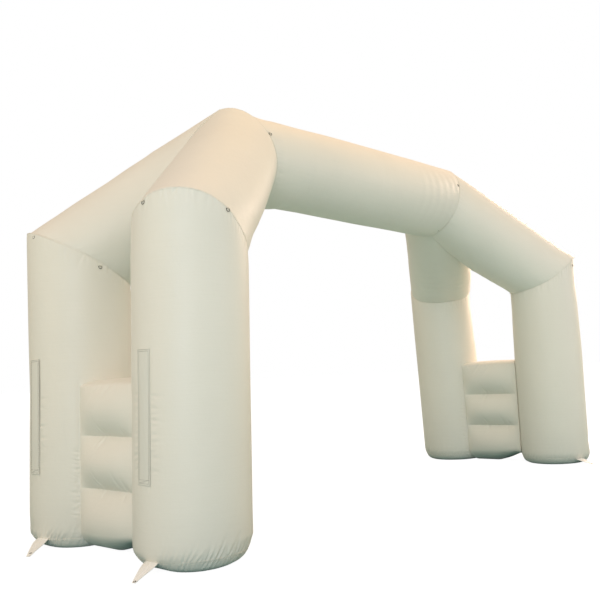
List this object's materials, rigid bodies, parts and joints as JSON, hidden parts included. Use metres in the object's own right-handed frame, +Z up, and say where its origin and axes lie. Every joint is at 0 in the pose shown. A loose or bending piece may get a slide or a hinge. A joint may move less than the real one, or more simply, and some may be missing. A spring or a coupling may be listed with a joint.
{
  "type": "inflatable arch",
  "caption": "Inflatable event arch: splayed fabric tube legs with end walls, sloping shoulder tubes and a ridge tube, anchored by D-rings and ground tabs.",
  "frame": {"origin": "on the ground under the middle of the whole arch, its anchor tabs included", "axes": "+X along the ridge tube, across the passage; +Y through the passage, from front to back; +Z up"},
  "size_m": [8.5316, 2.9584, 4.456],
  "materials": {
    "cloth": "coated woven polyester, cream white, soft satin",
    "webbing": "woven polyester webbing, off-white, matt",
    "steel": "plated steel wire, dull grey"
  },
  "bodies": {
    "root": {"base_front_left": "cloth", "leg_front_left": "cloth", "rafter_front_left": "cloth", "base_back_left": "cloth", "leg_back_left": "cloth", "rafter_back_left": "cloth", "base_front_right": "cloth", "leg_front_right": "cloth", "rafter_front_right": "cloth", "base_back_right": "cloth", "leg_back_right": "cloth", "rafter_back_right": "cloth", "beam": "cloth", "wall_left": "cloth", "wall_right": "cloth", "flap_front_left": "cloth", "flap_back_left": "cloth", "flap_front_right": "cloth", "flap_back_right": "cloth", "anchor_tab_front_left": "cloth", "anchor_eyelet_front_left": "steel", "anchor_tab_back_left": "cloth", "anchor_eyelet_back_left": "steel", "anchor_tab_front_right": "cloth", "anchor_eyelet_front_right": "steel", "anchor_tab_back_right": "cloth", "anchor_eyelet_back_right": "steel", "ring_01": "steel", "ring_strap_01": "webbing", "ring_02": "steel", "ring_strap_02": "webbing", "ring_03": "steel", "ring_strap_03": "webbing", "ring_04": "steel", "ring_strap_04": "webbing", "ring_05": "steel", "ring_strap_05": "webbing", "ring_06": "steel", "ring_strap_06": "webbing", "ring_07": "steel", "ring_strap_07": "webbing", "ring_08": "steel", "ring_strap_08": "webbing", "ring_09": "steel", "ring_strap_09": "webbing", "ring_10": "steel", "ring_strap_10": "webbing", "ring_11": "steel", "ring_strap_11": "webbing", "ring_12": "steel", "ring_strap_12": "webbing"}
  },
  "joints": []
}
